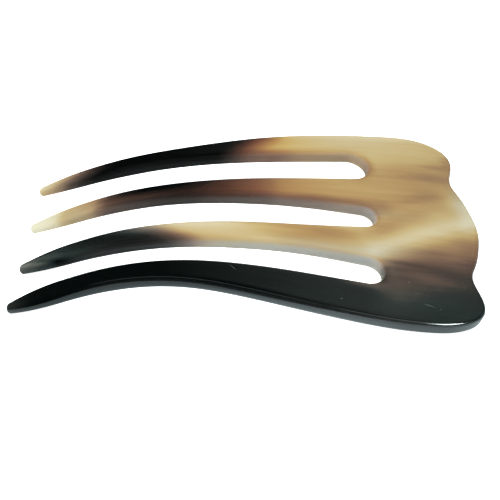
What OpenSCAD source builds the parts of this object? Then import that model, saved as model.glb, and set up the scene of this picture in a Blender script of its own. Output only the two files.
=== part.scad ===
// Hair fork with four tines, cut from one sheet of horn, bent along its length and polished.
// +X runs from the tips to the head, +Y to the far side and +Z up. The origin is under the middle,
// on the surface that the fork rests on with its four tips and the end of its head.

/* [Fork] */
// Length from the tips to the end of the head
fork_length = 120; // [100:1:150]
// Width across the widest part of the head
head_width = 68; // [58:1:80]
// Length of the head, from the ends of the slots to the end of the fork
head_length = 27.2; // [22:0.4:36]
// Depth of the two notches between the lobes of the head's end
scallop_depth = 4.6; // [1:0.2:7]
// Height of the bend above the line on which both ends rest
arch_rise = 11.8; // [6:0.2:20]

/* [Sheet] */
// Thickness of the horn
sheet = 3.4; // [2.4:0.1:5]
// Thickness at the tips
tip_sheet = 1.8; // [1.2:0.1:2.4]
// Length over which the tines thin towards their tips
thin_length = 30; // [15:1:50]
// How far the rounding of the upper edges reaches in, a sixth of the way from the tips
edge_round = 1; // [0.4:0.1:1.2]
// How far the rounding of the under edges reaches in, at the same place
under_round = 0.5; // [0.3:0.1:0.8]

/* [Tines] */
// Width across the outer tines where they are straight
tip_span = 46; // [40:1:54]
// Length over which each tine narrows to its tip
taper_length = 14; // [8:1:30]
// Radius of each tip
tip_round = 1.1; // [0.7:0.1:1.4]
// Width of the slots between the tines
slot_width = 8.5; // [6:0.5:10]

/* [Hidden] */

// Height of the bend at even steps from the tips to the end of the head, as shares of arch_rise
bend = [0, 0.43, 0.77, 0.96, 1, 0.93, 0.79, 0.61, 0.42, 0.28, 0];

// Rounding of the edges at even steps over the same length, where the tines are oval and the head's edge is squarer:
// [how far it reaches in as a share of edge_round or under_round, its height above and below as shares of thickness]
polish = [[0.8, 0.6, 0.3], [1.1, 0.6, 0.3], [1.6, 0.64, 0.3], [1.8, 0.66, 0.3], [1.4, 0.66, 0.3], [0.8, 0.3, 0.15],
          [0.8, 0.24, 0.15]];

// Width of the fork at even steps from the tips to the slots' ends and one step on: 0 is tip_span, 1 is head_width
flare = [0.08, 0.02, -0.03, 0, 0.12, 0.37, 0.62, 0.81, 0.96, 1.01];

// Shoulders of the head: [share of head_length from the slots' ends, share of half of head_width]
shoulder = [[0.66, 0.97], [0.85, 0.88]];

// Scalloped end, corner to middle: [share of scallop_depth before the end, share of half of head_width]
scallop = [[0.63, 0.78], [0.67, 0.71], [0.73, 0.67], [0.91, 0.59], [0.99, 0.53], [0.98, 0.46], [0.44, 0.33],
           [0, 0.08], [0, 0]];

// Middle line of each slot, far one first, from the tips to the slots' ends, as shares of the half width there
slot_place = [[0.6, 0.6, 0.6, 0.56, 0.61], [0, -0.01, 0, 0.01, 0.02], [-0.57, -0.61, -0.58, -0.51, -0.55]];

// Width of each slot over the same stretch, as shares of slot_width
slot_share = [[1.12, 1.04, 0.94, 0.92, 0.98, 1.12], [1.06, 1.08, 1.01, 0.92, 0.98, 0.71],
              [0.77, 0.8, 0.63, 0.7, 0.92, 0.91]];

// How far each tip stays behind the longest one, far one first, as shares of taper_length
set_back = [0.21, 0.17, 0.1, 0];

// Most of a tine's half width that a rounding may take
side_share = 0.75;

// Cells of the surface: along a tine, across a tine, round a slot's end, along the head, and round an edge
rows = 24;
cols = 4;
arc = 10;
head_rows = 10;
turn = 3;
// How much the rows gather towards a tip, and how closely the head's lines keep to its sides
gather = 1.5;
side_pull = 6;

tines = len(set_back);
slots = tines - 1;
slots_end = fork_length - head_length;
step = slots_end / (len(flare) - 2);
across = tines * cols + slots * arc;
tine_loop = 2 * rows + cols + arc;
side_loop = 2 * head_rows + across;
loop = side_loop + tines * tine_loop - arc;
rings = 2 * turn + 2;

// Smooth curve that is drawn towards the rows of a table, t from 0 to 1, and ends on its first and last row
function pull(table, i) = i < 0 ? 2 * table[0] - table[1]
    : i < len(table) ? table[i] : 2 * table[i - 1] - table[i - 2];
function smooth(table, t) = let (n = len(table) - 1, x = max(0, min(1, t)) * n, i = min(floor(x), n - 1), f = x - i)
    ((1 - f) ^ 3 * pull(table, i - 1) + (3 * f ^ 3 - 6 * f ^ 2 + 4) * pull(table, i)
        + (-3 * f ^ 3 + 3 * f ^ 2 + 3 * f + 1) * pull(table, i + 1) + f ^ 3 * pull(table, i + 2)) / 6;

// Gentle start and end of a change, t from 0 to 1
function ease(t) = t * t * (3 - 2 * t);

// Outline of the whole fork without its slots, from the far tip round the head to the near tip
far_outline = [
    for (i = [0:len(flare) - 1]) [i * step, (tip_span + (head_width - tip_span) * flare[i]) / 2],
    for (row = shoulder) [slots_end + row[0] * head_length, row[1] * head_width / 2],
    for (row = scallop) [fork_length - row[0] * scallop_depth, row[1] * head_width / 2]
];
outline = [each far_outline, for (i = [len(far_outline) - 2:-1:0]) [far_outline[i][0], -far_outline[i][1]]];
spans = len(outline) - 1;
function half_width(x) = smooth(outline, x / step / spans)[1];

// Edges of the slots: slot s counts from the far side, side is 1 for its far edge and -1 for its near edge
function slot_half(s, x) = slot_width * smooth(slot_share[s], x / slots_end) / 2;
function slot_edge(s, side, x) = half_width(x) * smooth(slot_place[s], x / slots_end) + side * slot_half(s, x);
function end_round(s) = slot_half(s, slots_end - slot_width / 2);
function slot_root(s) = slots_end - end_round(s);

// A tine's far and near edges before it narrows, its middle line and its half width
function far_edge(i, x) = i == 0 ? half_width(x) : slot_edge(i - 1, -1, x);
function near_edge(i, x) = i == slots ? -half_width(x) : slot_edge(i, 1, x);
function tine_middle(i, x) = (far_edge(i, x) + near_edge(i, x)) / 2;
function tip_x(i) = set_back[i] * taper_length;
function fullness(i, x) = 1 - (1 - max(0, min(1, (x - tip_x(i)) / taper_length))) ^ 2;
function tine_half(i, x) = tip_round + ((far_edge(i, x) - near_edge(i, x)) / 2 - tip_round) * fullness(i, x);
function tine_root(i, side) = side > 0 ? slot_root(max(i - 1, 0)) : slot_root(min(i, slots - 1));

// The bend: height of the sheet's middle, its slope over two small steps and its thickness at x
small = fork_length / 1200;
bend_top = max([for (x = [0:small:fork_length]) smooth(bend, x / fork_length)]);
function height(x) = arch_rise * smooth(bend, x / fork_length) / bend_top
    + (tip_sheet + (sheet - tip_sheet) * x / fork_length) / 2;
function slope(x) = let (a = max(0, x - small), b = min(fork_length, x + small)) atan((height(b) - height(a)) / (b - a));
function thickness(x) = tip_sheet + (sheet - tip_sheet) * ease(min(1, x / thin_length));

// A shorter tine bends down to the same surface, so its places along the bend start from its own tip
function bend_place(i, x) = slots_end - (slots_end - x) * slots_end / (slots_end - tip_x(i));

// Points of the outline are [x, y, place along the bend, limit of the edge's rounding]
function nose(i, turn_by) = let (x = tip_x(i) + tip_round, px = x - tip_round * cos(turn_by))
    [px, tine_middle(i, x) + tine_half(i, x) * sin(turn_by), bend_place(i, px), side_share * tip_round];
function side_point(i, side, j) = let (x0 = tip_x(i) + tip_round, x1 = tine_root(i, side),
        x = x0 + (x1 - x0) * (j / rows) ^ gather, h = tine_half(i, x))
    [x, tine_middle(i, x) + side * h, bend_place(i, x), side_share * h];
function slot_point(s, b) = let (x = slot_root(s), far = slot_edge(s, 1, x), near = slot_edge(s, -1, x),
        px = x + end_round(s) * sin(180 * b / arc))
    [px, (far + near) / 2 + (far - near) / 2 * cos(180 * b / arc), px, sheet];
function outline_point(t) = let (p = smooth(outline, t / spans)) [p[0], p[1], p[0], sheet];

// Places on the outline: where the head's sides start, and the corners between its sides and its end
far_start = tine_root(0, 1) / step;
far_corner = len(flare) + len(shoulder) / 2;
function side_t(r) = far_start + (far_corner - far_start) * r / head_rows;

// The closed outline, anticlockwise: near side of the head, its end, its far side, then tine after tine
edge_points = [
    for (r = [0:head_rows - 1]) outline_point(spans - side_t(r)),
    for (k = [0:across - 1]) outline_point(spans - far_corner - (spans - 2 * far_corner) * k / across),
    for (r = [head_rows:-1:1]) outline_point(side_t(r)),
    for (i = [0:slots]) each [
        for (j = [rows:-1:1]) side_point(i, 1, j),
        for (a = [0:cols]) nose(i, 90 - 180 * a / cols),
        for (j = [1:rows]) side_point(i, -1, j),
        if (i < slots) for (b = [1:arc - 1]) slot_point(i, b)
    ]
];

// How far the rounding of an edge reaches in, and its height
function reach(p, upper) = min(p[3], (upper ? edge_round : under_round) * smooth(polish, p[0] / fork_length)[0]);
function deep(p, upper) = thickness(p[2]) * smooth(polish, p[0] / fork_length)[upper ? 1 : 2];

// The flat of a face ends where the rounding of its edge begins
function inward(k) = let (a = edge_points[(k + loop - 1) % loop], b = edge_points[(k + 1) % loop],
        d = [b[0] - a[0], b[1] - a[1]]) [-d[1], d[0]] / norm(d);
function flat_edge(upper) = [for (k = [0:loop - 1]) let (p = edge_points[k], r = reach(p, upper), n = inward(k))
    [p[0] + r * n[0], p[1] + r * n[1], p[2] + r * n[0]]];

// Numbers of the points: on the loop, inside the tines and inside the head
function tine_at(i) = side_loop + i * tine_loop;
tine_inner = rows * (cols - 1);
inner = tines * tine_inner + (head_rows - 1) * (across - 1);
function tine_number(i, j, c) = j == 0 ? tine_at(i) + rows + c
    : c == 0 ? tine_at(i) + rows - j
    : c == cols ? (tine_at(i) + rows + cols + j) % loop
    : loop + i * tine_inner + (j - 1) * (cols - 1) + c - 1;
function root_number(k) = let (i = min(floor(k / (cols + arc)), slots), c = k - i * (cols + arc))
    c <= cols ? tine_number(i, rows, c) : tine_at(i) + 2 * rows + c;
function head_number(k, r) = r == 0 ? root_number(k)
    : r == head_rows ? head_rows + across - k
    : k == 0 ? head_rows + across + head_rows - r
    : k == across ? r
    : loop + tines * tine_inner + (r - 1) * (across - 1) + k - 1;

// Points inside a face: straight across a tine. Over the head, lines run straight on from the tines, fan out
// to the fork's end, and follow its sides where they are near them
function with_tines(net) = [each net, for (i = [0:slots]) for (j = [1:rows]) for (c = [1:cols - 1])
    let (a = net[tine_number(i, j, 0)], b = net[tine_number(i, j, cols)]) a + (b - a) * c / cols];
function fan(net, k, v) = let (a = net[root_number(k)], d = net[head_number(k, head_rows)] - a)
    a + [d[0] * v, d[1] * ease(v), d[2] * v];
function with_head(net) = [each net, for (r = [1:head_rows - 1]) for (k = [1:across - 1])
    let (u = k / across, v = r / head_rows, far = net[head_number(0, r)] - fan(net, 0, v),
        near = net[head_number(across, r)] - fan(net, across, v))
    fan(net, k, v) + (1 - u) ^ side_pull * far + u ^ side_pull * near];
nets = [for (upper = [true, false]) with_head(with_tines(flat_edge(upper)))];

// A point of the flat sheet on the bend, w above the sheet's middle
function bent(p, w) = let (s = slope(p[2])) [p[0] - w * sin(s), p[1], height(p[2]) + w * cos(s)];
function ring_point(k, ring) = let (upper = ring <= turn, p = edge_points[k], q = nets[upper ? 0 : 1][k],
        a = 90 * (upper ? 1 - ring / turn : (ring - turn - 1) / turn),
        w = thickness(p[2]) / 2 - deep(p, upper) * (1 - sin(a)), at = q + ([p[0], p[1], p[2]] - q) * cos(a))
    bent(at, upper ? w : -w);
raw_points = [
    for (ring = [0:rings - 1]) for (k = [0:loop - 1]) ring_point(k, ring),
    for (n = [loop:loop + inner - 1]) let (p = nets[0][n]) bent(p, thickness(p[2]) / 2),
    for (n = [loop:loop + inner - 1]) let (p = nets[1][n]) bent(p, -thickness(p[2]) / 2)
];

// The middle of the box goes over the origin, and the lowest points on the surface
low = [for (a = [0:2]) min([for (p = raw_points) p[a]])];
high = [for (a = [0:2]) max([for (p = raw_points) p[a]])];
shift = [-(low[0] + high[0]) / 2, -(low[1] + high[1]) / 2, -low[2]];

// Both faces share one net of cells. A cell is [four numbers in order, whether to cut it the other way]
cells = [
    for (i = [0:slots]) for (j = [0:rows - 1]) for (c = [0:cols - 1])
        [tine_number(i, j, c), tine_number(i, j + 1, c), tine_number(i, j + 1, c + 1), tine_number(i, j, c + 1),
            c >= cols / 2],
    for (r = [0:head_rows - 1]) for (k = [0:across - 1])
        [head_number(k, r), head_number(k, r + 1), head_number(k + 1, r + 1), head_number(k + 1, r), k >= across / 2]
];
function halves(q) = q[4] ? [[q[0], q[1], q[2]], [q[0], q[2], q[3]]] : [[q[0], q[1], q[3]], [q[1], q[2], q[3]]];
function top_number(n) = n < loop ? n : n + (rings - 1) * loop;
function under_number(n) = n + (rings - 1) * loop + (n < loop ? 0 : inner);
faces = [
    for (q = cells) for (f = halves(q)) [for (n = f) top_number(n)],
    for (q = cells) for (f = halves(q)) [for (n = [f[2], f[1], f[0]]) under_number(n)],
    for (ring = [0:rings - 2]) for (k = [0:loop - 1]) let (a = ring * loop + k, b = ring * loop + (k + 1) % loop)
        each [[a, b, b + loop], [a, b + loop, a + loop]]
];

module horn_fork() {
    color("#3a2f28")
        translate(shift)
            polyhedron(points = raw_points, faces = faces, convexity = 8);
}

horn_fork();
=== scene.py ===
# Hair fork with four tines, cut from one sheet of horn, bent along its length and polished.
# The mesh, the horn and the studio are made here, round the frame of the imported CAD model, in metres.
import math
import bpy
import numpy as np
from mathutils import Matrix, Vector


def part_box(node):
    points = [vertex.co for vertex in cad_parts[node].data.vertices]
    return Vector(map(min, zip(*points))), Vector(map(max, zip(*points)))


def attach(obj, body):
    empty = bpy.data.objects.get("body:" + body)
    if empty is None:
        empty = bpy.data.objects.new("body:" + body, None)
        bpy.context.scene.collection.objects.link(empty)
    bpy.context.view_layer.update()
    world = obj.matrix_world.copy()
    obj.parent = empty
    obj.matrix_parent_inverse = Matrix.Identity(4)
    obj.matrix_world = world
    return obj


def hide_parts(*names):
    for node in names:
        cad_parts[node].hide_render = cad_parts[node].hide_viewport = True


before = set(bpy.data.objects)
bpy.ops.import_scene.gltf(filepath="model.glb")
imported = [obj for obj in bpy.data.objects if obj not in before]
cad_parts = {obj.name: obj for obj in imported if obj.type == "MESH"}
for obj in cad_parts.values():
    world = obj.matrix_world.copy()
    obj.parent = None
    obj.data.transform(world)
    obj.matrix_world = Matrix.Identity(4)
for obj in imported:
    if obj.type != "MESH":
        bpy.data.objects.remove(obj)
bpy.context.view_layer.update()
print("frame: the packed fork is loaded")

# Sizes of the fork in millimetres. The tables run from the tips to the head and hold shares of these sizes
forkSizes = {
    "length": 120, "headWidth": 68, "headLength": 27.2, "scallopDepth": 4.6, "archRise": 11.8,
    "sheet": 3.4, "tipSheet": 1.8, "thinLength": 30, "edgeRound": 1, "underRound": 0.5, "sideShare": 0.75,
    "tipSpan": 46, "taperLength": 14, "tipRound": 1.1, "slotWidth": 8.5,
    "bend": [0, 0.43, 0.77, 0.96, 1, 0.93, 0.79, 0.61, 0.42, 0.28, 0],
    "flare": [0.08, 0.02, -0.03, 0, 0.12, 0.37, 0.62, 0.81, 0.96, 1.01],
    "shoulder": [(0.66, 0.97), (0.85, 0.88)],
    "scallop": [(0.63, 0.78), (0.67, 0.71), (0.73, 0.67), (0.91, 0.59), (0.99, 0.53), (0.98, 0.46),
                (0.44, 0.33), (0, 0.08), (0, 0)],
    "slotPlace": [[0.6, 0.6, 0.6, 0.56, 0.61], [0, -0.01, 0, 0.01, 0.02],
                  [-0.57, -0.61, -0.58, -0.51, -0.55]],
    "slotShare": [[1.12, 1.04, 0.94, 0.92, 0.98, 1.12], [1.06, 1.08, 1.01, 0.92, 0.98, 0.71],
                  [0.77, 0.8, 0.63, 0.7, 0.92, 0.91]],
    "setBack": [0.21, 0.17, 0.1, 0],
    # rows of the edges' rounding: its width above, then its height above and below as shares of the thickness
    "polish": [(0.8, 0.6, 0.3), (1.1, 0.6, 0.3), (1.6, 0.64, 0.3), (1.8, 0.66, 0.3), (1.4, 0.66, 0.3),
               (0.8, 0.3, 0.15), (0.8, 0.24, 0.15)],
}
# Cells of the surface: along a tine, across a tine, round a slot's end, along the head and round an edge.
# Gather draws a tine's rows towards its tip. The higher side pull is, the fewer of the head's lines follow
# its sides
forkCells = {"rows": 80, "cols": 8, "arc": 24, "headRows": 32, "turn": 6, "gather": 1.3, "sidePull": 6}
# The places across a tine end this far past the slots' end, and fade over this length
crossFade = {"past": 4, "length": 16}
slopeStep = 0.1  # the bend's slope is taken this far to either side
perMetre = 1000  # millimetres in a metre

length = forkSizes["length"]
slotsEnd = length - forkSizes["headLength"]
step = slotsEnd / (len(forkSizes["flare"]) - 2)
tines = len(forkSizes["setBack"])
slots = tines - 1


def smoothCurve(table, t):
    # uniform cubic B-spline through the rows of a table, t from 0 to 1, which starts and ends on its end rows
    table = np.asarray(table, float)
    n = len(table) - 1
    held = np.concatenate([[2 * table[0] - table[1]], table, [2 * table[-1] - table[-2]]])
    x = np.clip(t, 0, 1) * n
    i = np.minimum(np.floor(x).astype(int), n - 1)
    f = x - i
    if held.ndim > 1:
        f = f[..., None]
    return ((1 - f) ** 3 * held[i] + (3 * f ** 3 - 6 * f ** 2 + 4) * held[i + 1]
            + (-3 * f ** 3 + 3 * f ** 2 + 3 * f + 1) * held[i + 2] + f ** 3 * held[i + 3]) / 6


def smoothStep(s):
    return s * s * (3 - 2 * s)


def flareWidth(share):
    return (forkSizes["tipSpan"] + (forkSizes["headWidth"] - forkSizes["tipSpan"]) * share) / 2


# Outline of the whole fork without its slots, from the far tip round the head to the near tip
halfHead = forkSizes["headWidth"] / 2
farOutline = np.array(
    [(i * step, flareWidth(share)) for i, share in enumerate(forkSizes["flare"])]
    + [(slotsEnd + a * forkSizes["headLength"], b * halfHead) for a, b in forkSizes["shoulder"]]
    + [(length - a * forkSizes["scallopDepth"], b * halfHead) for a, b in forkSizes["scallop"]])
outline = np.concatenate([farOutline, (farOutline * [1, -1])[-2::-1]])
spans = len(outline) - 1


def halfWidth(x):
    return smoothCurve(outline, x / step / spans)[..., 1]


def slotHalf(s, x):
    return forkSizes["slotWidth"] * smoothCurve(forkSizes["slotShare"][s], x / slotsEnd) / 2


def slotMiddle(s, x):
    return smoothCurve(forkSizes["slotPlace"][s], x / slotsEnd)


def slotEdge(s, side, x):
    return halfWidth(x) * slotMiddle(s, x) + side * slotHalf(s, x)


def endRound(s):
    return slotHalf(s, slotsEnd - forkSizes["slotWidth"] / 2)


def tipX(i):
    return forkSizes["setBack"][i] * forkSizes["taperLength"]


def tineRoot(i, side):
    s = max(i - 1, 0) if side > 0 else min(i, slots - 1)
    return slotsEnd - endRound(s)


def tineSpan(i, x):
    # a tine's middle line and half width at x
    far = halfWidth(x) if i == 0 else slotEdge(i - 1, -1, x)
    near = -halfWidth(x) if i == slots else slotEdge(i, 1, x)
    fullness = 1 - (1 - np.clip((x - tipX(i)) / forkSizes["taperLength"], 0, 1)) ** 2
    tipRound = forkSizes["tipRound"]
    return (far + near) / 2, tipRound + ((far - near) / 2 - tipRound) * fullness


# The bend's curve at its highest, looked for in small steps
bendTop = smoothCurve(forkSizes["bend"], np.linspace(0, 1, 201)).max()


def height(x):
    # height of the sheet's middle
    rise = forkSizes["archRise"] * smoothCurve(forkSizes["bend"], x / length) / bendTop
    return rise + (forkSizes["tipSheet"] + (forkSizes["sheet"] - forkSizes["tipSheet"]) * x / length) / 2


def slope(x):
    a, b = np.maximum(0, x - slopeStep), np.minimum(length, x + slopeStep)
    return np.arctan((height(b) - height(a)) / (b - a))


def thickness(x):
    s = np.clip(x / forkSizes["thinLength"], 0, 1)
    return forkSizes["tipSheet"] + (forkSizes["sheet"] - forkSizes["tipSheet"]) * smoothStep(s)


def bendPlace(i, x):
    # a shorter tine bends down to the same surface, so its places along the bend start from its own tip
    return slotsEnd - (slotsEnd - x) * slotsEnd / (slotsEnd - tipX(i))


# Points of the edge are rows of x, y, place along the bend and limit of the edge's rounding
def tipPoints(i):
    tipRound = forkSizes["tipRound"]
    x = tipX(i) + tipRound
    turn = np.linspace(np.pi / 2, -np.pi / 2, forkCells["cols"] + 1)
    middle, half = tineSpan(i, np.array([x]))
    px = x - tipRound * np.cos(turn)
    limit = np.full(len(px), forkSizes["sideShare"] * tipRound)
    return np.stack([px, middle + half * np.sin(turn), bendPlace(i, px), limit], -1)


def sidePoints(i, side):
    x0, x1 = tipX(i) + forkSizes["tipRound"], tineRoot(i, side)
    x = x0 + (x1 - x0) * (np.arange(1, forkCells["rows"] + 1) / forkCells["rows"]) ** forkCells["gather"]
    middle, half = tineSpan(i, x)
    return np.stack([x, middle + side * half, bendPlace(i, x), forkSizes["sideShare"] * half], -1)


def slotPoints(s):
    x = slotsEnd - endRound(s)
    far, near = slotEdge(s, 1, x), slotEdge(s, -1, x)
    turn = np.pi * np.arange(1, forkCells["arc"]) / forkCells["arc"]
    px = x + endRound(s) * np.sin(turn)
    y = (far + near) / 2 + (far - near) / 2 * np.cos(turn)
    return np.stack([px, y, px, np.full(len(px), forkSizes["edgeRound"])], -1)


def outlinePoints(t):
    p = smoothCurve(outline, np.asarray(t) / spans)
    return np.stack([p[:, 0], p[:, 1], p[:, 0], np.full(len(p), forkSizes["edgeRound"])], -1)


def edgeLoop(across):
    # the closed outline, anticlockwise: near side of the head, its end, its far side, then tine after tine
    headRows = forkCells["headRows"]
    corner = len(forkSizes["flare"]) + len(forkSizes["shoulder"]) / 2
    farStart, nearStart = tineRoot(0, 1) / step, tineRoot(slots, -1) / step
    share = np.arange(headRows) / headRows
    parts = [outlinePoints(spans - nearStart - (corner - nearStart) * share),
             outlinePoints(spans - corner - (spans - 2 * corner) * np.arange(across) / across),
             outlinePoints(corner - (corner - farStart) * share)]
    for i in range(tines):
        parts += [sidePoints(i, 1)[::-1], tipPoints(i), sidePoints(i, -1)]
        if i < slots:
            parts.append(slotPoints(i))
    return np.concatenate(parts)[:-1]


def crossPlace(x, y):
    # lane counts 0 to 4 across the fork, with the slots' middle lines at 1, 2 and 3. Cross is 0 on a tine's
    # middle line and -1 and 1 on its sides
    flare = smoothCurve(forkSizes["flare"], x / step / (len(forkSizes["flare"]) - 1))
    wide = flareWidth(flare)
    lines = [wide] + [wide * slotMiddle(s, x) for s in range(slots)] + [-wide]
    lane, cross = np.zeros(len(x)), np.zeros(len(x))
    for i in range(tines):
        inside = y < lines[i] if i else np.full(len(x), True)
        part = i + (lines[i] - y) / (lines[i] - lines[i + 1])
        middle, half = tineSpan(i, x)
        lane = np.where(inside, part, lane)
        cross = np.where(inside, (middle - y) / half, cross)
    fade = np.clip((slotsEnd + crossFade["past"] - x) / crossFade["length"], 0, 1)
    return lane, np.clip(cross, -1, 1) * smoothStep(fade)


def edgeRounding(edge, upper):
    # width and height of the rounding. The tines are polished to an oval, and the head's edge stays squarer
    polish = smoothCurve(forkSizes["polish"], edge[:, 0] / length)
    width = forkSizes["edgeRound" if upper else "underRound"] * polish[:, 0]
    return np.minimum(width, edge[:, 3]), polish[:, 1 if upper else 2] * thickness(edge[:, 2])


def faceNets(loop, across):
    # nets of point numbers over the tines and the head, numbers below loop being on the edge
    rows, cols, arc, headRows = (forkCells[k] for k in ("rows", "cols", "arc", "headRows"))
    tineLoop = 2 * rows + cols + arc
    tineNets, rootLine, number = [], [], loop
    for i in range(tines):
        start = 2 * headRows + across + i * tineLoop
        net = np.zeros((rows + 1, cols + 1), int)
        net[0] = start + rows + np.arange(cols + 1)
        net[1:, 0] = start + rows - np.arange(1, rows + 1)
        net[1:, cols] = (start + rows + cols + np.arange(1, rows + 1)) % loop
        net[1:, 1:cols] = number + np.arange(rows * (cols - 1)).reshape(rows, cols - 1)
        number += rows * (cols - 1)
        tineNets.append(net)
        rootLine += list(net[rows])
        if i < slots:
            rootLine += list(start + 2 * rows + cols + np.arange(1, arc))
    headNet = np.zeros((headRows + 1, across + 1), int)
    headNet[0] = rootLine
    headNet[headRows] = headRows + across - np.arange(across + 1)
    headNet[1:headRows, 0] = 2 * headRows + across - np.arange(1, headRows)
    headNet[1:headRows, across] = np.arange(1, headRows)
    inner = number + np.arange((headRows - 1) * (across - 1))
    headNet[1:headRows, 1:across] = inner.reshape(headRows - 1, -1)
    return tineNets, headNet


def flatFace(edge, inward, width, tineNets, headNet):
    # the flat of a face ends where the rounding of its edge begins
    flat = np.concatenate([edge[:, :2] + width * inward, edge[:, 2:3] + width * inward[:, :1]], 1)
    cols, headRows, across = forkCells["cols"], len(headNet) - 1, headNet.shape[1] - 1
    share = (np.arange(1, cols) / cols)[None, :, None]
    for net in tineNets:
        inside = flat[net[1:, :1]] * (1 - share) + flat[net[1:, cols:]] * share
        flat = np.concatenate([flat, inside.reshape(-1, 3)])
    # lines of the head's net run straight on from the tines, then fan out to the end, and follow its sides
    u = (np.arange(across + 1) / across)[None, :, None]
    v = (np.arange(1, headRows) / headRows)[:, None, None]
    start, end = flat[headNet[:1]], flat[headNet[headRows:]]
    fan = start + (end - start) * np.concatenate([v, smoothStep(v), v], -1)
    pull = forkCells["sidePull"]
    toFar = flat[headNet[1:headRows, :1]] - fan[:, :1]
    toNear = flat[headNet[1:headRows, across:]] - fan[:, across:]
    fan += (1 - u) ** pull * toFar + u ** pull * toNear
    return np.concatenate([flat, fan[:, 1:across].reshape(-1, 3)])


def bent(p, w):
    # a point of the flat sheet on the bend, w above the sheet's middle
    s = slope(p[:, 2])
    return np.stack([p[:, 0] - w * np.sin(s), p[:, 1], height(p[:, 2]) + w * np.cos(s)], -1)


def forkMesh():
    turn = forkCells["turn"]
    across = tines * forkCells["cols"] + slots * forkCells["arc"]
    edge = edgeLoop(across)
    loop = len(edge)
    along = np.roll(edge, -1, 0)[:, :2] - np.roll(edge, 1, 0)[:, :2]
    inward = np.stack([-along[:, 1], along[:, 0]], -1) / np.linalg.norm(along, axis=1)[:, None]
    tineNets, headNet = faceNets(loop, across)
    half = thickness(edge[:, 2]) / 2

    # rings of the rounded edge from the upper face to the under one, then the points inside the two faces
    rings, inside, plan = [], [], []
    for side in (1, -1):
        width, deep = edgeRounding(edge, side > 0)
        flat = flatFace(edge, inward, width[:, None], tineNets, headNet)
        for ring in range(turn + 1):
            a = np.pi / 2 * (1 - ring / turn if side > 0 else ring / turn)
            at = flat[:loop] + (edge[:, :3] - flat[:loop]) * np.cos(a)
            rings.append(bent(at, side * (half - deep * (1 - np.sin(a)))))
            plan.append(at)
        inside.append(flat[loop:])
    points = rings + [bent(p, side * thickness(p[:, 2]) / 2) for p, side in zip(inside, (1, -1))]
    points, plan = np.concatenate(points), np.concatenate(plan + inside)

    faces = []
    last = (len(rings) - 1) * loop
    for net in tineNets + [headNet]:
        cells = np.stack([net[:-1, :-1], net[:-1, 1:], net[1:, 1:], net[1:, :-1]], -1).reshape(-1, 4)
        faces.append(np.where(cells < loop, cells, cells + last))
        under = np.where(cells < loop, cells + last, cells + last + len(inside[0]))
        faces.append(under[:, ::-1])
    k = np.arange(loop)
    for ring in range(len(rings) - 1):
        a, b = ring * loop + k, ring * loop + (k + 1) % loop
        faces.append(np.stack([a, a + loop, b + loop, b], -1))
    return points, plan, np.concatenate(faces), edge


def edgeGaps(plan, edge, batches=40):
    # distance of each point of the flat sheet from the fork's outline, in batches that need little memory
    gaps = []
    for part in np.array_split(plan, batches):
        apart = part[:, None, :2] - edge[None, :, :2]
        gaps.append(np.sqrt((apart ** 2).sum(-1).min(1)))
    return np.concatenate(gaps)


def buildFork():
    points, plan, faces, edge = forkMesh()
    # the finer mesh is set exactly into the box of the CAD node
    low, high = (np.array(corner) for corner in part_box("horn_fork"))
    scale = (high - low) / (points.max(0) - points.min(0))
    placed = low + (points - points.min(0)) * scale
    mesh = bpy.data.meshes.new("hornFork")
    mesh.from_pydata(placed.tolist(), [], faces.tolist())
    lane, cross = crossPlace(plan[:, 0], plan[:, 1])
    for name, values in {"lane": lane, "cross": cross, "edgeGap": edgeGaps(plan, edge)}.items():
        mesh.attributes.new(name, "FLOAT", "POINT").data.foreach_set("value", values.astype(np.float32))
    mesh.polygons.foreach_set("use_smooth", [True] * len(mesh.polygons))
    mesh.update()
    piece = bpy.data.objects.new("hornFork", mesh)
    bpy.context.scene.collection.objects.link(piece)
    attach(piece, "root")
    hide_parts("horn_fork")
    origin = low - points.min(0) * scale
    print("fork:", len(placed), "points,", len(faces), "faces")
    return piece, origin


hornFork, tipsOrigin = buildFork()


def addNode(tree, kind, inputs=None, **settings):
    # inputs are links or values, and the nodes stand in rows of twelve
    node = tree.nodes.new("ShaderNode" + kind)
    node.location = (len(tree.nodes) % 12 * 200, -(len(tree.nodes) // 12) * 260)
    for name, value in settings.items():
        setattr(node, name, value)
    for name, value in (inputs or {}).items():
        if isinstance(value, bpy.types.NodeSocket):
            tree.links.new(value, node.inputs[name])
        else:
            node.inputs[name].default_value = value
    return node


def calc(tree, operation, *values):
    return addNode(tree, "Math", dict(enumerate(values)), operation=operation).outputs[0]


def ease(tree, value, low, high):
    # 0 below low, 1 above high and a smooth step between them
    inputs = {"Value": value, "From Min": low, "From Max": high}
    return addNode(tree, "MapRange", inputs, interpolation_type="SMOOTHSTEP").outputs[0]


def fall(tree, value, low, high):
    # 1 below low and 0 above high
    return calc(tree, "SUBTRACT", 1, ease(tree, value, low, high))


def clamped(tree, value):
    return addNode(tree, "Clamp", {"Value": value}).outputs[0]


def blendValues(tree, factor, a, b):
    return addNode(tree, "Mix", {0: factor, 2: a, 3: b}).outputs[0]


def blendColours(tree, factor, a, b):
    return addNode(tree, "Mix", {0: factor, 6: a, 7: b}, data_type="RGBA").outputs[2]


def curveOf(tree, value, stops, span=None):
    # a curve through the stops, pairs of a place in the span and a value from 0 to 1. The span is that of the
    # stops where none is given
    low, high = span or (stops[0][0], stops[-1][0])
    share = addNode(tree, "MapRange", {"Value": value, "From Min": low, "From Max": high}).outputs[0]
    node = addNode(tree, "FloatCurve", {"Value": share})
    points = node.mapping.curves[0].points
    for i, (place, level) in enumerate(stops):
        at = ((place - low) / (high - low), level)
        if i < 2:
            points[i].location = at
        else:
            points.new(*at)
    node.mapping.update()
    return node.outputs[0]


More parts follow.
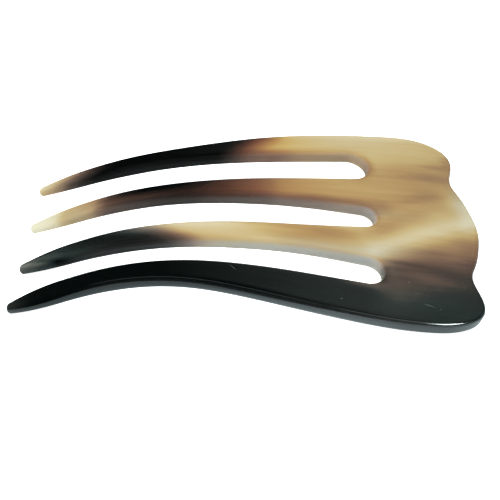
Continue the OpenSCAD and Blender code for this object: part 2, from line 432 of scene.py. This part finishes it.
# The floor is a white sheet that glows, so the camera sees it without shadows, and it glows a little onto the
# horn by the bounce share.
# The horn mirrors it a little cool and with a painted pool of light, whose brightness is listed at
# millimetres to the right of the fork's middle
floorLook = {"half": 1.5, "colour": (0.86, 0.88, 0.86), "roughness": 0.9, "seen": 1.0, "bounce": 0.6,
             "mirrored": (0.84, 1.0, 0.98),
             "paintedLightPool": [(-60, 0.5), (-25, 0.55), (-5, 0.95), (18, 1), (40, 0.72), (60, 0.62)]}


def makeFloor():
    mesh = bpy.data.meshes.new("paleFloor")
    half = floorLook["half"]
    corners = [(-half, -half, 0), (half, -half, 0), (half, half, 0), (-half, half, 0)]
    mesh.from_pydata(corners, [], [(0, 1, 2, 3)])
    floor = bpy.data.objects.new("paleFloor", mesh)
    bpy.context.scene.collection.objects.link(floor)
    paint = bpy.data.materials.new("palePaper")
    paint.use_nodes = True
    tree = paint.node_tree
    shader = tree.nodes["Principled BSDF"]
    shader.inputs["Roughness"].default_value = floorLook["roughness"]
    shader.inputs["Specular IOR Level"].default_value = 0
    shader.inputs["Emission Color"].default_value = (1, 1, 1, 1)
    ray = addNode(tree, "LightPath").outputs
    bounce = calc(tree, "MULTIPLY", ray["Is Diffuse Ray"], floorLook["bounce"])
    glow = calc(tree, "MULTIPLY_ADD", ray["Is Camera Ray"], floorLook["seen"], bounce)
    tree.links.new(glow, shader.inputs["Emission Strength"])
    place = addNode(tree, "SeparateXYZ", {0: addNode(tree, "TexCoord").outputs["Object"]}).outputs["X"]
    # painted pool of light, which only the horn's gloss sees
    paintedLightPool = curveOf(tree, calc(tree, "MULTIPLY", place, perMetre), floorLook["paintedLightPool"])
    mirrored = blendColours(tree, paintedLightPool, (0, 0, 0, 1), (*floorLook["mirrored"], 1))
    colour = blendColours(tree, ray["Is Glossy Ray"], (*floorLook["colour"], 1), mirrored)
    tree.links.new(colour, shader.inputs["Base Color"])
    mesh.materials.append(paint)


makeFloor()
print("floor done")

# The camera's lens and place in millimetres and degrees. It looks at the aim, which is measured from the
# tips, and sees from the first of the clip's two distances to the second, in metres
view = {"sensor": 36, "focal": 69.03, "distance": 253.52, "elevation": 47, "azimuth": -0.634, "roll": -0.977,
        "aim": (60.66, 0, -1.72), "clip": (0.01, 10)}


def makeCamera():
    e, a, roll = (math.radians(view[k]) for k in ("elevation", "azimuth", "roll"))
    back = Vector((math.sin(a) * math.cos(e), -math.cos(a) * math.cos(e), math.sin(e)))
    right = Vector((math.cos(a), math.sin(a), 0))
    turned = math.cos(roll) * right + math.sin(roll) * back.cross(right)
    camera = bpy.data.objects.new("photoCamera", bpy.data.cameras.new("photoCamera"))
    bpy.context.scene.collection.objects.link(camera)
    camera.data.sensor_width = view["sensor"]
    camera.data.lens = view["focal"]
    camera.data.clip_start, camera.data.clip_end = view["clip"]
    place = Vector(tipsOrigin) + (Vector(view["aim"]) + view["distance"] * back) / perMetre
    axes = Matrix((turned, back.cross(turned), back)).transposed()
    camera.matrix_world = Matrix.Translation(place) @ axes.to_4x4()
    bpy.context.scene.camera = camera


makeCamera()
print("camera done")

# Soft boxes: direction from the fork, distance, width and height in metres, and watts. A box lights the
# horn's colour or shows in its gloss, and its tint goes by that
boxTint = {"gloss": (0.88, 1.0, 1.0), "colour": (0.97, 1.0, 1.05)}
softBoxes = {
    "keyBox": {"toward": (0.69, -0.48, 0.62), "away": 0.60, "size": (0.30, 0.18), "watts": 6.2,
               "seenIn": "gloss"},
    "topFill": {"toward": (-0.2, -0.1, 0.94), "away": 0.70, "size": (0.80, 0.80), "watts": 11.7,
                "seenIn": "colour"},
    "frontFill": {"toward": (0.05, -0.85, 0.5), "away": 0.70, "size": (0.80, 0.40), "watts": 1,
                  "seenIn": "colour"},
    "leftStrip": {"toward": (-0.3, -0.44, 0.85), "away": 0.60, "size": (0.60, 0.05), "watts": 0.13,
                  "seenIn": "gloss"},
    "rightStrip": {"toward": (0.45, -0.28, 0.85), "away": 0.60, "size": (0.60, 0.05), "watts": 0.2,
                   "seenIn": "gloss"},
}
# The horn mirrors a room that is dark but for a glow behind the fork on its right. The pairs say where the
# glow starts and is full, and where it starts and ends to fade again. Above the floor the camera sees plain
# white
room = {"dark": 0.01, "glow": 0.34, "tint": (0.8, 1.0, 0.93), "sideways": (-0.3, 0.55), "behind": (0.1, 0.6),
        "fade": (0.5, 0.75), "fadeBy": 0.6}


def makeLights():
    for name, box in softBoxes.items():
        data = bpy.data.lights.new(name, "AREA")
        data.shape = "RECTANGLE"
        data.size, data.size_y = box["size"]
        data.energy = box["watts"]
        data.color = boxTint[box["seenIn"]]
        lamp = bpy.data.objects.new(name, data)
        bpy.context.scene.collection.objects.link(lamp)
        toward = Vector(box["toward"]).normalized()
        lamp.location = toward * box["away"]
        lamp.rotation_euler = toward.to_track_quat("Z", "Y").to_euler()
        lamp.visible_glossy = box["seenIn"] == "gloss"
        lamp.visible_diffuse = box["seenIn"] == "colour"
        lamp.visible_camera = False


def makeRoom():
    world = bpy.data.worlds.new("studio")
    world.use_nodes = True
    tree = world.node_tree
    sight = addNode(tree, "SeparateXYZ", {0: addNode(tree, "TexCoord").outputs["Generated"]}).outputs
    glow = calc(tree, "MULTIPLY", ease(tree, sight["X"], *room["sideways"]),
                ease(tree, sight["Y"], *room["behind"]))
    fade = calc(tree, "MULTIPLY_ADD", ease(tree, sight["X"], *room["fade"]), -room["fadeBy"], 1)
    glow = calc(tree, "MULTIPLY", glow, fade)
    background = tree.nodes["Background"]
    seen = addNode(tree, "LightPath").outputs["Is Camera Ray"]
    tree.links.new(blendColours(tree, seen, (*room["tint"], 1), (1, 1, 1, 1)), background.inputs["Color"])
    level = calc(tree, "MULTIPLY_ADD", glow, room["glow"], room["dark"])
    tree.links.new(blendValues(tree, seen, level, 1.0), background.inputs["Strength"])
    bpy.context.scene.world = world


makeLights()
makeRoom()
bpy.context.scene.view_settings.view_transform = "Standard"
print("lights done")


# Shades of the horn as seen in daylight, from the palest to black, and how dark each one counts
plainShades = [(0.0, (238, 234, 204)), (0.18, (222, 204, 160)), (0.3, (208, 182, 124)),
               (0.42, (188, 154, 102)), (0.55, (155, 121, 88)), (0.68, (115, 88, 71)), (0.8, (74, 58, 49)),
               (0.9, (38, 32, 29)), (1.0, (5, 8, 7))]
warmShades = [(0.0, (236, 232, 196)), (0.3, (212, 180, 108)), (0.42, (190, 146, 84)), (0.55, (164, 114, 70)),
              (0.68, (130, 82, 57)), (0.8, (84, 49, 35)), (0.9, (42, 26, 20)), (1.0, (5, 7, 6))]
coolShades = [(0.0, (232, 232, 212)), (0.4, (160, 160, 146)), (0.68, (96, 98, 90)), (0.8, (64, 70, 65)),
              (0.88, (38, 48, 45)), (1.0, (5, 9, 8))]

# How dark the horn is along each tine, the far one first, at millimetres from the tips. The slant is how many
# millimetres further along the darkness reaches at the tine's far edge than at its middle
hornPattern = {
    "farTine": {"slant": 3.5, "dark": [
        (3, 0.14), (7, 0.3), (10, 0.46), (13, 0.62), (16, 0.76), (20, 0.9), (25, 1), (54, 1), (58, 0.89),
        (61, 0.77), (64, 0.62), (67.5, 0.44), (71, 0.32), (76, 0.28), (112, 0.29)]},
    "secondTine": {"slant": 0, "dark": [
        (3, 0.02), (9, 0.1), (13, 0.33), (18, 0.38), (22, 0.61), (26, 0.78), (36, 0.88), (44, 0.9),
        (52, 0.83), (58, 0.75), (65, 0.63), (71, 0.47), (80, 0.4), (112, 0.43)]},
    "thirdTine": {"slant": -7, "dark": [
        (0, 0.52), (2, 0.53), (6, 0.76), (9, 0.81), (16, 0.91), (26, 0.96), (31, 0.92), (35, 0.81),
        (39, 0.63), (43, 0.38), (47, 0.25), (58, 0.25), (66, 0.34), (76, 0.4), (86, 0.33), (93, 0.23),
        (98, 0.27)]},
    "nearTine": {"slant": 0, "dark": [(3, 0.94), (8, 1), (60, 1), (80, 0.96), (96, 0.95), (112, 0.95)]},
    # across the head, at millimetres to the near side of the pale band that rises from the nearest slot's
    # end. It takes over from the tines between two places along the fork, and two on the band's far side
    "paleBand": {"start": (92, -9.3), "rise": 0.46, "headFrom": (87, 97), "farSide": (-10, -5), "dark": [
        (-12, 0.42), (-7, 0.42), (-4, 0.36), (-1.5, 0.24), (0.5, 0.18), (3, 0.28), (5.5, 0.45), (7.5, 0.57),
        (9.5, 0.65), (13, 0.73), (18, 0.81), (23, 0.91), (28, 0.96)]},
}

# Single streaks: millimetres from the tips and across, half length, half width, turn in degrees, and what
# they add. The dark ones add to how dark the horn is
darkStreaks = {
    "farTineRim": (86, 31.5, 26, 2.2, 6, -0.10),
    "farTineBack": (60, 28, 6, 1.5, 12, -0.14),
    "secondTineFarEdge": (36, 8.3, 13, 1.3, 4, 0.16),
    "secondTineNearEdge": (77, 4.9, 16, 1.6, 2, 0.23),
    # painted shade past the ends of the near and second slots
    "nearSlotEndShade": (96, -17.5, 6, 3, -10, 0.09),
    "secondSlotPastShade": (95.5, 3.5, 3, 2.5, -40, 0.1),
    "nearLobePale": (113, -10, 5, 4, 20, -0.09),
    "thirdTipNear": (8, -10.3, 11, 1.4, -9, 0.42),
    "thirdTineBend": (33, -6, 6, 1.5, 0, -0.07),
    "thirdTineFar": (50, -5.4, 14, 1.7, 0, -0.08),
    "thirdTineNear": (52, -10.2, 10, 1.3, -3, 0.09),
    "thirdTineGold": (84, -6.3, 9, 2.0, 1, 0.12),
    "betweenSlots": (94, -4, 6, 3, 0, 0.06),
    "thirdTinePale": (87, -12, 12, 1.8, -4, -0.1),
    "headFarBrown": (111, 17.6, 8, 2.0, 7, 0.09),
    "headFarEdge": (113, 22.8, 5, 1.8, 6, 0.15),
    "farLobeEnd": (118, 27.5, 2.5, 6, -20, 0.18),
    "headEndSoft": (110, 3.5, 4, 2.5, 20, -0.06),
    "headFarSoft": (104, 20, 9, 5.0, 5, 0.07),
    "headMiddleBrown": (108, 10.2, 8, 1.7, 8, 0.11),
    "headMiddleStripe": (103, 7.6, 5, 0.8, 6, 0.07),
    "headEndPale": (117, 9, 4, 5, 60, -0.19),
    "endRimPale": (118, -1, 2.5, 11, 0, -0.07),
    "darkBand": (102, -15.4, 12, 1.4, -9, 0.08),
    "mauveBand": (104, -19.5, 10, 1.5, -9, -0.05),
    "slotRimOlive": (87, -22.6, 5, 1.2, -8, -0.2),
}
# Where the horn takes the warm shades
warmStreaks = {
    "farTineGlow": (66, 25, 14, 6, 8, 0.95),
    "secondTineRed": (58, 7, 25, 5, 3, 0.8),
    "thirdTineGold": (74, -7, 16, 3, 0, 0.4),
    "headGold": (96, 12, 18, 12, 0, 0.15),
}
# Where the horn takes the cool shades
coolStreaks = {
    "farTineTip": (10, 19, 8, 4, 0, 0.35),
    "thirdTineBend": (32, -6.5, 8, 2.5, 0, 0.6),
    "secondTineTip": (16, 5, 7, 4, 0, 0.3),
    "headEnd": (117.5, 10, 3, 7, 0, 0.4),
    # on the edge walls, the cool tint of nearSlotCorner, thirdTineLow and secondTineLow is partly painted
    # floor light, and partly the horn's own tone
    "nearSlotCorner": (94.5, -17.5, 2.5, 2.5, 0, 0.3),
    "thirdTineTip": (8, -8, 20, 6, 0, 1.0),
    "thirdTineLow": (78, -11.5, 12, 1.8, -4, 0.35),
    "secondTineLow": (76, 2.8, 20, 1.6, -2, 0.5),
    "nearSlotPale": (94, -11.5, 9, 3, 10, 0.35),
    "nearTine": (45, -24, 62, 7, -6, 1.0),
    "nearLobe": (112, -30, 14, 6, 0, 0.8),
}
# Painted shade: streaks that darken the horn only beside a slot
paintedSlotShade = {
    "farTineSide": (67, 21.5, 6, 3.5, 8, 0.25),
    "farSlotSide": (82, 22.5, 16, 4, 0, 0.2),
    "farSlotEnd": (92, 18.5, 5, 5, 0, 0.14),
    "secondSlotEnd": (92, 2, 5, 4, 0, 0.2),
    "nearSlotEndShade": (93.5, -18, 3, 3, 0, 0.1),
}
# Where more of the painted floor light shows on the pale edge walls
paintedEdgeLightStreaks = {
    "thirdTineWall": (70, -11.5, 28, 4, -4, 0.5),
    "nearSlotWall": (89, -13, 8, 3, -8, 0.35),
    "secondTineWall": (60, 2.8, 40, 2, 2, 0.38),
    "secondSlotEnd": (92, 0, 5, 6, 0, 0.4),
}
# Small scratches and specks on the black horn
fineMarks = {
    "tineScratch": (56.3, -20.4, 0.9, 0.1, -47, 0.12),
    "lobeScratch": (102.8, -28, 1.1, 0.1, -17, 0.2),
    "shortScratch": (100.3, -24.4, 0.6, 0.1, -20, 0.08),
    "slotSpeck": (98.8, -21.1, 0.2, 0.15, 0, 0.2),
    "tineSpeck": (81.7, -28.1, 0.2, 0.15, 0, 0.15),
    "lobeSpeck": (105.4, -29, 0.2, 0.15, 0, 0.12),
}

# The horn's surface in shares, shades, millimetres and lanes. The pairs say where a change starts and ends
hornFinish = {
    "light": 1.7,  # how many times brighter than its shades in daylight the lamps would show the horn
    "roughness": 0.24, "roughnessChange": 0.12, "ior": 1.54, "specular": 0.1,
    # a clear coat stands for the polish: full on the black lane, half on the pale ones, none on their edges
    "coat": 1.0, "paleCoat": 0.5, "edgeCoat": 0.0, "coatRoughness": 0.04, "blackLane": (2.5, 3.1),
    "paleLanes": (2.6, 3.0), "edge": (0.9, 2.2), "edgeRoughness": 0.5, "dullFrom": (58, 70),
    "subsurface": 0.1, "subsurfaceScale": 0.0012, "subsurfaceRadius": (1.0, 0.7, 0.4),
    # painted floor light on the edge walls: its share, width, shade, where it starts along the fork and the
    # darkness over which it fades
    "paintedEdgeLight": 0.3, "paintedEdgeLightWidth": 0.8, "edgeLightAndScratchShade": (202, 207, 203), "paintedEdgeLightFrom": (12, 32), "paintedEdgeLightDark": (0.15, 1.15),
    # millimetres from an edge over which the painted shade beside the slots fades
    "paintedShadeWidth": 3.0,
}
# Fibres show faintly everywhere and more in the middle shades. The pattern wanders with them, by millimetres
# along and across, and one tine's pattern meets the next over this share of a lane to either side. The
# scales of the fibres are along, over the lanes and up
hornGrain = {"fibre": 0.048, "middleFibre": 0.096, "middleFrom": (0.05, 0.4), "middleTo": (0.75, 1),
             "fibreScale": (0.022, 9, 0.25), "fibreDetail": 4, "fibreRoughness": 0.6,
             "bump": 0.15, "bumpHeight": 0.00002, "warpScale": (0.05, 0.2), "warpDetail": 2,
             "wander": (2.8, 1.4), "laneBlend": 0.25, "polishScale": 0.35, "polishDetail": 2}


def litShade(shade):
    # a shade in 0 to 255 as the linear colour that shows it under the lamps
    linear = [((c / 255 + 0.055) / 1.055) ** 2.4 if c > 10 else c / 255 / 12.92 for c in shade]
    return [c / hornFinish["light"] for c in linear] + [1]


def shadeRamp(tree, value, shades):
    node = addNode(tree, "ValToRGB", {"Fac": value})
    ramp = node.color_ramp
    for place, shade in shades[1:-1]:
        ramp.elements.new(place)
    for element, (place, shade) in zip(ramp.elements, shades):
        element.position = place
        element.color = litShade(shade)
    return node.outputs[0]


def newGroup(name, inputs, outputs):
    group = bpy.data.node_groups.new(name, "ShaderNodeTree")
    for label, value in inputs.items():
        group.interface.new_socket(label, in_out="INPUT", socket_type="NodeSocketFloat").default_value = value
    for label in outputs:
        group.interface.new_socket(label, in_out="OUTPUT", socket_type="NodeSocketFloat")
    return group, group.nodes.new("NodeGroupInput").outputs, group.nodes.new("NodeGroupOutput").inputs


def streakGroup():
    # a soft long patch round one place, 1 in its middle
    group, given, out = newGroup("softStreak", {"Along": 0, "Across": 0, "At Along": 60, "At Across": 0,
                                                "Half Length": 10, "Half Width": 2, "Turn": 0}, ["Mask"])
    dx = calc(group, "SUBTRACT", given["Along"], given["At Along"])
    dy = calc(group, "SUBTRACT", given["Across"], given["At Across"])
    turn = calc(group, "RADIANS", given["Turn"])
    cos, sin = calc(group, "COSINE", turn), calc(group, "SINE", turn)
    u = calc(group, "ADD", calc(group, "MULTIPLY", dx, cos), calc(group, "MULTIPLY", dy, sin))
    v = calc(group, "SUBTRACT", calc(group, "MULTIPLY", dy, cos), calc(group, "MULTIPLY", dx, sin))
    u, v = calc(group, "DIVIDE", u, given["Half Length"]), calc(group, "DIVIDE", v, given["Half Width"])
    square = calc(group, "ADD", calc(group, "MULTIPLY", u, u), calc(group, "MULTIPLY", v, v))
    group.links.new(calc(group, "EXPONENT", calc(group, "MULTIPLY", square, -1)), out["Mask"])
    return group


softStreak = streakGroup()


def addStreaks(tree, value, along, across, streaks):
    for name, (atAlong, atAcross, halfLength, halfWidth, turn, strength) in streaks.items():
        inputs = {"Along": along, "Across": across, "At Along": atAlong, "At Across": atAcross,
                  "Half Length": halfLength, "Half Width": halfWidth, "Turn": turn}
        node = tree.nodes.new("ShaderNodeGroup")
        node.node_tree = softStreak
        node.label = name
        for label, given in inputs.items():
            if isinstance(given, bpy.types.NodeSocket):
                tree.links.new(given, node.inputs[label])
            else:
                node.inputs[label].default_value = given
        value = calc(tree, "MULTIPLY_ADD", node.outputs["Mask"], strength, value)
    return value


def hornPlaces(tree):
    # millimetres from the tips, across and up, and what the mesh says of the place on its tine
    place = addNode(tree, "SeparateXYZ", {0: addNode(tree, "TexCoord").outputs["Object"]}).outputs
    places = {"along": calc(tree, "MULTIPLY_ADD", place["X"], perMetre, -perMetre * tipsOrigin[0]),
              "across": calc(tree, "MULTIPLY", place["Y"], perMetre),
              "up": calc(tree, "MULTIPLY", place["Z"], perMetre)}
    for name in ("lane", "cross", "edgeGap"):
        places[name] = addNode(tree, "Attribute", attribute_name=name).outputs["Fac"]
    return places


def stretched(tree, places, scales):
    parts = {axis: calc(tree, "MULTIPLY", place, scale) for axis, place, scale in zip("XYZ", places, scales)}
    return addNode(tree, "CombineXYZ", parts).outputs[0]


def noise(tree, place, scale, detail, roughness=0.5):
    # noise round 0
    inputs = {"Vector": place, "Scale": scale, "Detail": detail, "Roughness": roughness}
    return calc(tree, "SUBTRACT", addNode(tree, "TexNoise", inputs).outputs["Fac"], 0.5)


def hornDarkness(tree, places, fibre):
    along, across = places["along"], places["across"]
    warp = noise(tree, stretched(tree, (along, across), hornGrain["warpScale"]), 1.0, hornGrain["warpDetail"])
    wanderAlong, wanderAcross = hornGrain["wander"]
    feathered = calc(tree, "MULTIPLY_ADD", calc(tree, "ADD", fibre, warp), wanderAlong, along)
    drifted = calc(tree, "MULTIPLY_ADD", warp, wanderAcross, across)

    dark = None
    for i, name in enumerate(("farTine", "secondTine", "thirdTine", "nearTine")):
        tine = hornPattern[name]
        slanted = calc(tree, "MULTIPLY_ADD", places["cross"], tine["slant"], feathered)
        level = curveOf(tree, slanted, tine["dark"], (0, length))
        if i:
            onward = ease(tree, places["lane"], i - hornGrain["laneBlend"], i + hornGrain["laneBlend"])
            level = blendValues(tree, onward, dark, level)
        dark = level

    band = hornPattern["paleBand"]
    startAlong, startAcross = band["start"]
    past = calc(tree, "MULTIPLY_ADD", feathered, band["rise"], startAcross - band["rise"] * startAlong)
    past = calc(tree, "SUBTRACT", past, drifted)
    inHead = calc(tree, "MULTIPLY", ease(tree, along, *band["headFrom"]), ease(tree, past, *band["farSide"]))
    dark = blendValues(tree, inHead, dark, curveOf(tree, past, band["dark"]))

    dark = addStreaks(tree, dark, feathered, drifted, darkStreaks)
    # painted shade beside the slots, full at the edge and gone at the given width
    beside = fall(tree, places["edgeGap"], 0, hornFinish["paintedShadeWidth"])
    dark = calc(tree, "MULTIPLY_ADD", addStreaks(tree, 0.0, along, across, paintedSlotShade), beside, dark)

    middle = calc(tree, "MULTIPLY", ease(tree, dark, *hornGrain["middleFrom"]),
                  fall(tree, dark, *hornGrain["middleTo"]))
    strength = calc(tree, "MULTIPLY_ADD", middle, hornGrain["middleFibre"], hornGrain["fibre"])
    return clamped(tree, calc(tree, "MULTIPLY_ADD", fibre, strength, dark))


def hornColour(tree, places, dark):
    along, across = places["along"], places["across"]
    warm, cool, marks = (clamped(tree, addStreaks(tree, 0.0, along, across, streaks))
                         for streaks in (warmStreaks, coolStreaks, fineMarks))
    colour = blendColours(tree, warm, shadeRamp(tree, dark, plainShades), shadeRamp(tree, dark, warmShades))
    colour = blendColours(tree, cool, colour, shadeRamp(tree, dark, coolShades))
    # painted floor light: the edge walls take a pale shade that stands in for the floor's reflection and
    # bounce light, save where the horn is black and near the tips. The same shade colours the scratches
    paintedEdgeLight = calc(tree, "MULTIPLY", fall(tree, places["edgeGap"], 0, hornFinish["paintedEdgeLightWidth"]),
               fall(tree, dark, *hornFinish["paintedEdgeLightDark"]))
    share = addStreaks(tree, hornFinish["paintedEdgeLight"], along, across, paintedEdgeLightStreaks)
    share = calc(tree, "MULTIPLY", share, ease(tree, along, *hornFinish["paintedEdgeLightFrom"]))
    edgeLightAndScratchShade = litShade(hornFinish["edgeLightAndScratchShade"])
    colour = blendColours(tree, calc(tree, "MULTIPLY", paintedEdgeLight, share), colour, edgeLightAndScratchShade)
    return blendColours(tree, marks, colour, edgeLightAndScratchShade)


def hornPolish(tree, places, fibrePlace):
    # weight of the coat, and roughness under it
    lane = places["lane"]
    black = ease(tree, lane, *hornFinish["blackLane"])
    coat = blendValues(tree, black, hornFinish["paleCoat"], hornFinish["coat"])
    atEdge = calc(tree, "MULTIPLY", fall(tree, places["edgeGap"], *hornFinish["edge"]),
                  fall(tree, lane, *hornFinish["paleLanes"]))
    coat = blendValues(tree, atEdge, coat, hornFinish["edgeCoat"])
    polish = noise(tree, fibrePlace, hornGrain["polishScale"], hornGrain["polishDetail"])
    rough = calc(tree, "MULTIPLY_ADD", polish, hornFinish["roughnessChange"], hornFinish["roughness"])
    # towards the head the slots' edges are left a little dull
    dull = calc(tree, "MULTIPLY", atEdge, ease(tree, places["along"], *hornFinish["dullFrom"]))
    return coat, blendValues(tree, dull, rough, hornFinish["edgeRoughness"])


def makeHorn():
    paint = bpy.data.materials.new("polishedHorn")
    paint.use_nodes = True
    tree = paint.node_tree
    shader = tree.nodes["Principled BSDF"]
    places = hornPlaces(tree)
    # fibres run with the tines and fan out over the head
    fibrePlace = stretched(tree, (places["along"], places["lane"], places["up"]), hornGrain["fibreScale"])
    fibre = noise(tree, fibrePlace, 1.0, hornGrain["fibreDetail"], hornGrain["fibreRoughness"])
    dark = hornDarkness(tree, places, fibre)
    coat, rough = hornPolish(tree, places, fibrePlace)
    bump = addNode(tree, "Bump", {"Height": fibre, "Strength": hornGrain["bump"],
                                  "Distance": hornGrain["bumpHeight"]})
    tree.links.new(hornColour(tree, places, dark), shader.inputs["Base Color"])
    tree.links.new(coat, shader.inputs["Coat Weight"])
    tree.links.new(rough, shader.inputs["Roughness"])
    tree.links.new(bump.outputs[0], shader.inputs["Normal"])
    shader.inputs["IOR"].default_value = hornFinish["ior"]
    shader.inputs["Specular IOR Level"].default_value = hornFinish["specular"]
    shader.inputs["Coat Roughness"].default_value = hornFinish["coatRoughness"]
    shader.inputs["Subsurface Weight"].default_value = hornFinish["subsurface"]
    shader.inputs["Subsurface Scale"].default_value = hornFinish["subsurfaceScale"]
    shader.inputs["Subsurface Radius"].default_value = hornFinish["subsurfaceRadius"]
    return paint


hornFork.data.materials.append(makeHorn())
print("horn done")
